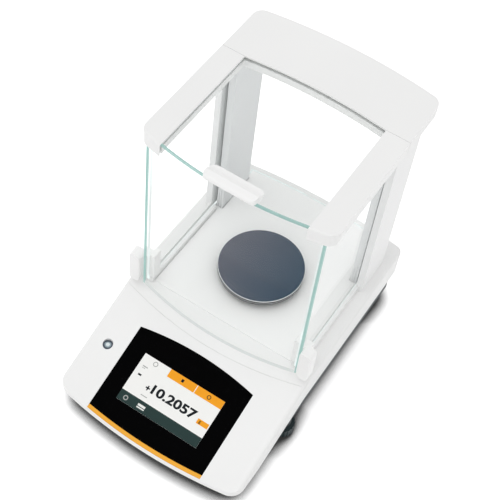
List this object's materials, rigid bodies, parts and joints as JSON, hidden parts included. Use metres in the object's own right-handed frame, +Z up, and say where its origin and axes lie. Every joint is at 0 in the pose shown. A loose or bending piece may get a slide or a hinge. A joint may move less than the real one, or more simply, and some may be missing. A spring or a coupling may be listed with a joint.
{
  "type": "analytical balance",
  "caption": "Bench balance with a bowed glass draft shield, side and top doors sliding to the rear, round steel pan, sloped touch display and levelling screw feet",
  "frame": {"origin": "middle of the bounding box on the bench plane under the feet", "axes": "+X to the right seen from the front, +Y from the display to the rear, +Z up"},
  "size_m": [0.2288, 0.351, 0.326],
  "materials": {
    "tray_cast": "dark powder coat",
    "housing_white": "satin moulded",
    "panel_black": "polished touch face",
    "screen": "backlit display",
    "trim_orange": "satin",
    "dark_plastic": "fine texture",
    "clear_glass": "polished edges",
    "frame_white": "satin moulded",
    "post_grey": "satin moulded",
    "pan_steel": "brushed top, bright rim",
    "alloy": "machined",
    "copper": "enamelled winding",
    "magnet_iron": "nickel plated",
    "brass": "turned",
    "circuit_board": "solder mask",
    "bright_steel": "zinc plated",
    "rubber": "matt"
  },
  "bodies": {
    "base": {"base_tray": "tray_cast", "upper_housing": "housing_white", "display_panel": "panel_black", "lcd_screen": "screen", "front_trim": "trim_orange", "level_cup": "dark_plastic", "level_lens": "clear_glass", "chamber_floor": "frame_white", "front_glass": "clear_glass", "rear_glass": "clear_glass", "left_top_rail": "frame_white", "right_top_rail": "frame_white", "rear_beam": "frame_white", "left_post": "post_grey", "right_post": "post_grey", "left_post_cover": "frame_white", "right_post_cover": "frame_white", "left_base_rail": "frame_white", "right_base_rail": "frame_white", "weigh_cell_frame": "alloy", "magnet_pot": "magnet_iron", "position_sensor": "dark_plastic", "lift_actuator": "dark_plastic", "main_board": "circuit_board", "display_board": "circuit_board", "connector_plate": "dark_plastic", "power_inlet": "dark_plastic", "usb_socket": "bright_steel", "data_socket": "bright_steel", "rear_feet": "rubber", "housing_screws": "bright_steel", "cell_screws": "bright_steel"},
    "left_door": {"left_door_glass": "clear_glass", "left_door_handle": "frame_white"},
    "right_door": {"right_door_glass": "clear_glass", "right_door_handle": "frame_white"},
    "top_door": {"top_door_glass": "clear_glass", "top_door_handle": "frame_white"},
    "carrier": {"pan_carrier": "alloy"},
    "pan": {"weighing_pan": "pan_steel"},
    "lever": {"load_lever": "alloy", "coil": "copper"},
    "lifter": {"weight_lifter": "alloy", "calibration_weight": "brass"},
    "left_foot": {"left_foot_pad": "rubber"},
    "left_wheel": {"left_foot_wheel": "dark_plastic"},
    "right_foot": {"right_foot_pad": "rubber"},
    "right_wheel": {"right_foot_wheel": "dark_plastic"},
    "hook_cover": {"hook_port_cover": "dark_plastic"}
  },
  "joints": [
    {"name": "left_door_slide", "type": "slide", "parent": "base", "child": "left_door", "axis": [0, 1, 0], "range_m": [0, 0.108]},
    {"name": "right_door_slide", "type": "slide", "parent": "base", "child": "right_door", "axis": [0, 1, 0], "range_m": [0, 0.108]},
    {"name": "top_door_slide", "type": "slide", "parent": "base", "child": "top_door", "axis": [0, 1, 0], "range_m": [0, 0.11]},
    {"name": "carrier_travel", "type": "slide", "parent": "base", "child": "carrier", "axis": [0, 0, 1], "range_m": [-0.0004, 0], "stiffness_N_per_m": 20000, "springref_m": 0.0002},
    {"name": "pan_lift", "type": "slide", "parent": "carrier", "child": "pan", "axis": [0, 0, 1], "range_m": [0, 0.12]},
    {"name": "lever_tilt", "type": "hinge", "parent": "base", "child": "lever", "pos_m": [0, 0.0675, 0.0505], "axis": [1, 0, 0], "range_deg": [0, 1.1]},
    {"name": "calibration_lift", "type": "slide", "parent": "base", "child": "lifter", "axis": [0, 0, 1], "range_m": [0, 0.003]},
    {"name": "left_foot_slide", "type": "slide", "parent": "base", "child": "left_foot", "axis": [0, 0, -1], "range_m": [0, 0.006]},
    {"name": "left_foot_turn", "type": "hinge", "parent": "left_foot", "child": "left_wheel", "pos_m": [-0.101, -0.0575, 0.01], "axis": [0, 0, 1], "range_deg": [0, 1728]},
    {"name": "right_foot_slide", "type": "slide", "parent": "base", "child": "right_foot", "axis": [0, 0, -1], "range_m": [0, 0.006]},
    {"name": "right_foot_turn", "type": "hinge", "parent": "right_foot", "child": "right_wheel", "pos_m": [0.101, -0.0575, 0.01], "axis": [0, 0, 1], "range_deg": [0, 1728]},
    {"name": "hook_cover_swing", "type": "hinge", "parent": "base", "child": "hook_cover", "pos_m": [0, 0.072, 0.015], "axis": [0, 0, 1], "range_deg": [0, 90]}
  ],
  "couplings": [
    {"joint": "lever_tilt", "follows": "carrier_travel", "rad_per_m": -46.512},
    {"joint": "left_foot_slide", "follows": "left_foot_turn", "m_per_rad": 0.00019894},
    {"joint": "right_foot_slide", "follows": "right_foot_turn", "m_per_rad": 0.00019894}
  ]
}
